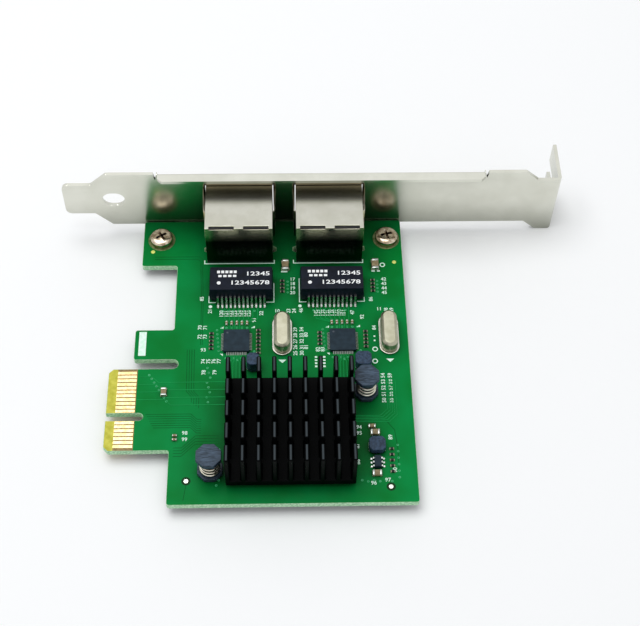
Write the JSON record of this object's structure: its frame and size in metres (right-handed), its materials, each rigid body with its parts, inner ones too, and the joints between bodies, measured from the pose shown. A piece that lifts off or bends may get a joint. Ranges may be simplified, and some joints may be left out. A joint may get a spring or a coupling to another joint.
{
  "type": "network interface card",
  "caption": "Low-profile network adapter board with shielded cable jacks, finned heat sink and full-height slot bracket.",
  "frame": {"origin": "datum of the card edge connector: the tip of the contact tongue, on the centre line of the key notch, on the component face of the board", "axes": "+X along the bracket towards its screw flange, +Y from the free front edge of the board towards the bracket, +Z out of the component face"},
  "size_m": [0.12, 0.0891, 0.0215],
  "materials": {
    "board_laminate": "green solder mask on glass-epoxy laminate, satin",
    "gold_plating": "thin gold plating, pale and slightly worn",
    "plated_steel": "nickel-plated sheet steel, satin",
    "screw_steel": "plated machine screws, warm grey",
    "tinned_shield": "tin-plated folded sheet, satin",
    "black_moulding": "black moulded insert",
    "lamp_window": "milky lamp window",
    "chip_moulding": "blue-black moulding compound",
    "tinned_leads": "bright tinned leads",
    "solder": "solder, bright",
    "crystal_can": "drawn nickel-silver can, satin",
    "ferrite": "slate-grey ferrite, ground",
    "enamelled_wire": "enamelled copper wire",
    "anodised_aluminium": "black anodised",
    "pad_silicone": "grey thermal pad",
    "capacitor_ceramic": "tan fired ceramic",
    "resistor_ceramic": "black glazed film on ceramic"
  },
  "bodies": {
    "root": {"bracket": "plated_steel", "bracket_screws": "screw_steel", "bridge_chip_body": "chip_moulding", "bridge_chip_solder": "solder", "capacitor_bodies": "capacitor_ceramic", "capacitor_ends": "tinned_leads", "choke_1": "ferrite", "choke_2": "ferrite", "choke_3": "ferrite", "choke_pads": "tinned_leads", "circuit_board": "board_laminate", "controller_1_body": "chip_moulding", "controller_1_solder": "solder", "controller_2_body": "chip_moulding", "controller_2_solder": "solder", "crystal_1_base": "crystal_can", "crystal_1_can": "crystal_can", "crystal_2_base": "crystal_can", "crystal_2_can": "crystal_can", "edge_contacts_bottom": "gold_plating", "edge_contacts_top": "gold_plating", "heat_sink": "anodised_aluminium", "inductor_1_core": "ferrite", "inductor_1_winding": "enamelled_wire", "inductor_2_core": "ferrite", "inductor_2_winding": "enamelled_wire", "jack_1_housing": "black_moulding", "jack_1_lamps": "lamp_window", "jack_1_shield": "tinned_shield", "jack_1_wires": "gold_plating", "jack_2_housing": "black_moulding", "jack_2_lamps": "lamp_window", "jack_2_shield": "tinned_shield", "jack_2_wires": "gold_plating", "magnetics_1_body": "chip_moulding", "magnetics_1_leads": "tinned_leads", "magnetics_2_body": "chip_moulding", "magnetics_2_leads": "tinned_leads", "regulator_body": "chip_moulding", "regulator_leads": "tinned_leads", "resistor_bodies": "resistor_ceramic", "resistor_ends": "tinned_leads", "solder_joints": "solder", "thermal_pad": "pad_silicone"}
  },
  "joints": []
}
